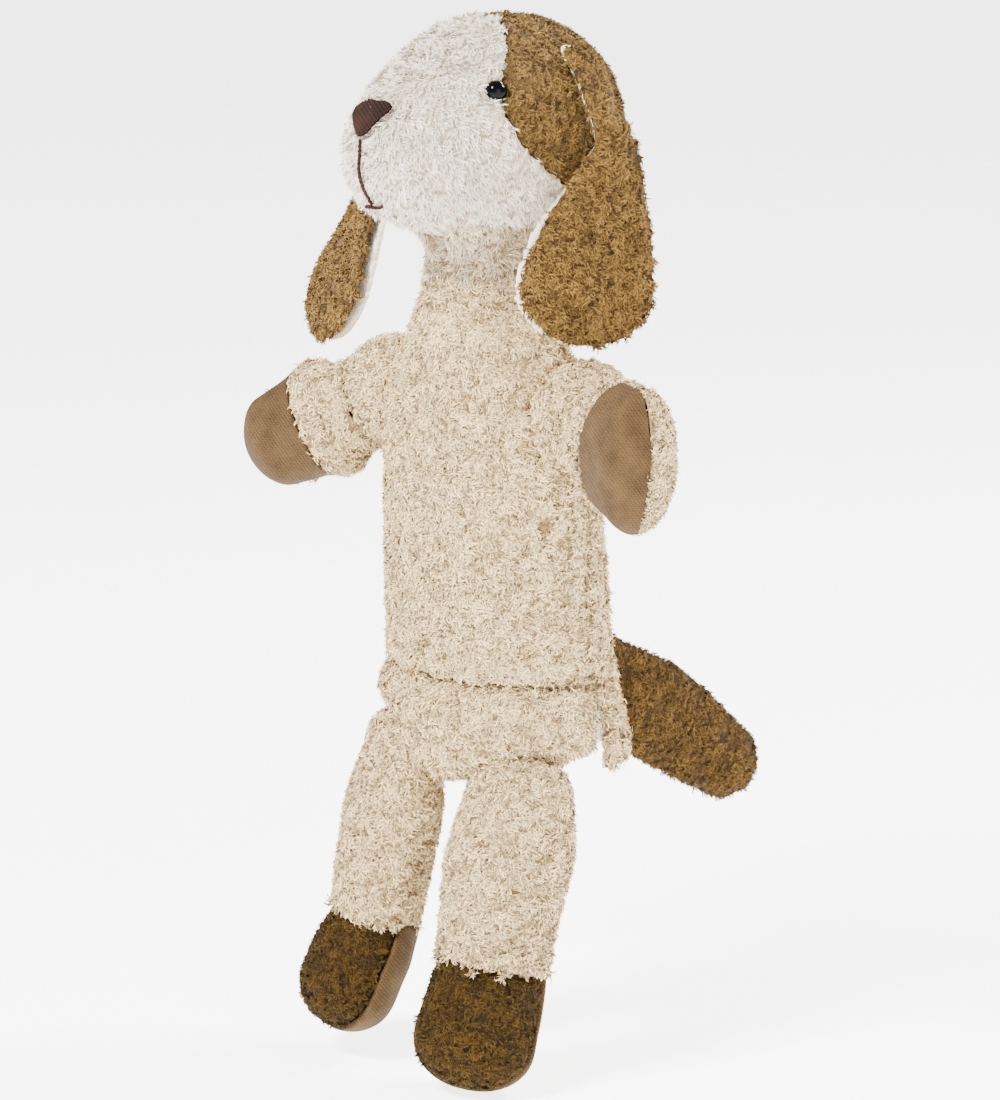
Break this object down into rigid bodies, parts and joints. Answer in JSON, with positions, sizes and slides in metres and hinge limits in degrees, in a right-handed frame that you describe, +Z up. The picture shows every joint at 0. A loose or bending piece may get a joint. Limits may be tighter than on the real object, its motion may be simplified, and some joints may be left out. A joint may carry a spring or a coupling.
{
  "type": "plush dog hand puppet",
  "caption": "Plush dog glove puppet with a stuffed head on a finger tube, drooping ears, hollow arms, a padded seat with stuffed legs, and a tail.",
  "frame": {"origin": "centre of the glove's open lower end, where a forearm enters", "axes": "+Z up the glove to the head, -Y the side the face looks to, +X the puppet's left"},
  "size_m": [0.1953, 0.1713, 0.3697],
  "materials": {
    "cream_plush": "curly terry pile",
    "white_plush": "brushed pile",
    "brown_plush": "curly terry pile",
    "dark_plush": "curly terry pile",
    "taupe_velour": "short knitted velour",
    "cream_velour": "short velour",
    "lining_cotton": "plain woven cotton",
    "stuffing": "loose wool filling",
    "nose_thread": "satin stitch",
    "line_thread": "stranded thread",
    "eye_black": "polished",
    "washer_white": "moulded"
  },
  "bodies": {
    "glove": {"glove_front_panel": "cream_plush", "glove_back_panel": "cream_plush", "glove_front_lining": "lining_cotton", "glove_back_lining": "lining_cotton", "glove_hem_band": "lining_cotton"},
    "neck": {"neck_sleeve": "cream_plush"},
    "head": {"face_left": "white_plush", "face_right": "white_plush", "hood_left": "brown_plush", "hood_right": "brown_plush", "head_stuffing": "stuffing", "finger_tube": "lining_cotton", "nose": "nose_thread", "nose_line_stitch": "line_thread", "mouth_stitch": "line_thread", "eye_left": "eye_black", "eye_right": "eye_black", "eye_washer_left": "washer_white", "eye_washer_right": "washer_white"},
    "tail": {"tail_left_panel": "brown_plush", "tail_right_panel": "brown_plush", "tail_stuffing": "stuffing"},
    "seat": {"seat_front_panel": "cream_plush", "seat_stuffing": "stuffing", "seat_back_panel": "lining_cotton"},
    "ear_left": {"ear_left_outer": "brown_plush", "ear_left_lining": "cream_velour"},
    "shoulder_left": {"armhole_ring_left": "cream_plush"},
    "arm_left": {"sleeve_left_front": "cream_plush", "sleeve_left_back": "cream_plush", "paw_pad_left": "taupe_velour"},
    "leg_left": {"leg_left_front": "cream_plush", "leg_left_back": "cream_plush", "leg_left_stuffing": "stuffing"},
    "foot_left": {"foot_left_upper": "dark_plush", "foot_left_sole": "taupe_velour", "foot_left_stuffing": "stuffing"},
    "ear_right": {"ear_right_outer": "brown_plush", "ear_right_lining": "cream_velour"},
    "shoulder_right": {"armhole_ring_right": "cream_plush"},
    "arm_right": {"sleeve_right_front": "cream_plush", "sleeve_right_back": "cream_plush", "paw_pad_right": "taupe_velour"},
    "leg_right": {"leg_right_front": "cream_plush", "leg_right_back": "cream_plush", "leg_right_stuffing": "stuffing"},
    "foot_right": {"foot_right_upper": "dark_plush", "foot_right_sole": "taupe_velour", "foot_right_stuffing": "stuffing"}
  },
  "joints": [
    {"name": "head_turn", "type": "hinge", "parent": "glove", "child": "neck", "pos_m": [0, -0.01, 0.168], "axis": [0, 0, 1], "range_deg": [-30, 30]},
    {"name": "head_nod", "type": "hinge", "parent": "neck", "child": "head", "pos_m": [0, -0.01, 0.168], "axis": [0.9848, -0.1736, 0], "range_deg": [-20, 22]},
    {"name": "ear_left_flap", "type": "hinge", "parent": "head", "child": "ear_left", "pos_m": [0.03825, 0.00772, 0.24709], "axis": [-0.1736, -0.9848, 0], "range_deg": [0, 60]},
    {"name": "ear_right_flap", "type": "hinge", "parent": "head", "child": "ear_right", "pos_m": [-0.03846, 0.0223, 0.2395], "axis": [0.1736, 0.9848, 0], "range_deg": [0, 60]},
    {"name": "arm_left_raise", "type": "hinge", "parent": "glove", "child": "shoulder_left", "pos_m": [0.0425, -0.00735, 0.1235], "axis": [-0.4848, -0.8746, 0], "range_deg": [-22, 2]},
    {"name": "arm_left_swing", "type": "hinge", "parent": "shoulder_left", "child": "arm_left", "pos_m": [0.0425, -0.00735, 0.1235], "axis": [0, 0, -1], "range_deg": [-20, 32]},
    {"name": "arm_right_raise", "type": "hinge", "parent": "glove", "child": "shoulder_right", "pos_m": [-0.0425, -0.00735, 0.1235], "axis": [-0.342, 0.9397, 0], "range_deg": [-5, 18]},
    {"name": "arm_right_swing", "type": "hinge", "parent": "shoulder_right", "child": "arm_right", "pos_m": [-0.0425, -0.00735, 0.1235], "axis": [0, 0, 1], "range_deg": [-15, 32]},
    {"name": "seat_swing", "type": "hinge", "parent": "glove", "child": "seat", "pos_m": [0, -0.034, 0.0294], "axis": [-1, 0, 0], "range_deg": [0, 45]},
    {"name": "leg_left_swing", "type": "hinge", "parent": "seat", "child": "leg_left", "pos_m": [0.0265, -0.022, -0.007], "axis": [-0.9086, -0.4007, 0.1176], "range_deg": [-10, 50]},
    {"name": "foot_left_bend", "type": "hinge", "parent": "leg_left", "child": "foot_left", "pos_m": [0.02413, -0.03613, -0.07347], "axis": [-0.9086, -0.4007, 0.1176], "range_deg": [-10, 1]},
    {"name": "leg_right_swing", "type": "hinge", "parent": "seat", "child": "leg_right", "pos_m": [-0.0265, -0.022, 0.001], "axis": [-0.9031, 0.4279, 0.0357], "range_deg": [-3, 50]},
    {"name": "foot_right_bend", "type": "hinge", "parent": "leg_right", "child": "foot_right", "pos_m": [-0.03361, -0.03141, -0.06597], "axis": [-0.9031, 0.4279, 0.0357], "range_deg": [-10, 1]},
    {"name": "tail_wag", "type": "hinge", "parent": "glove", "child": "tail", "pos_m": [0, 0.03969, 0.027], "axis": [0, 0, 1], "range_deg": [-25, 20]}
  ]
}
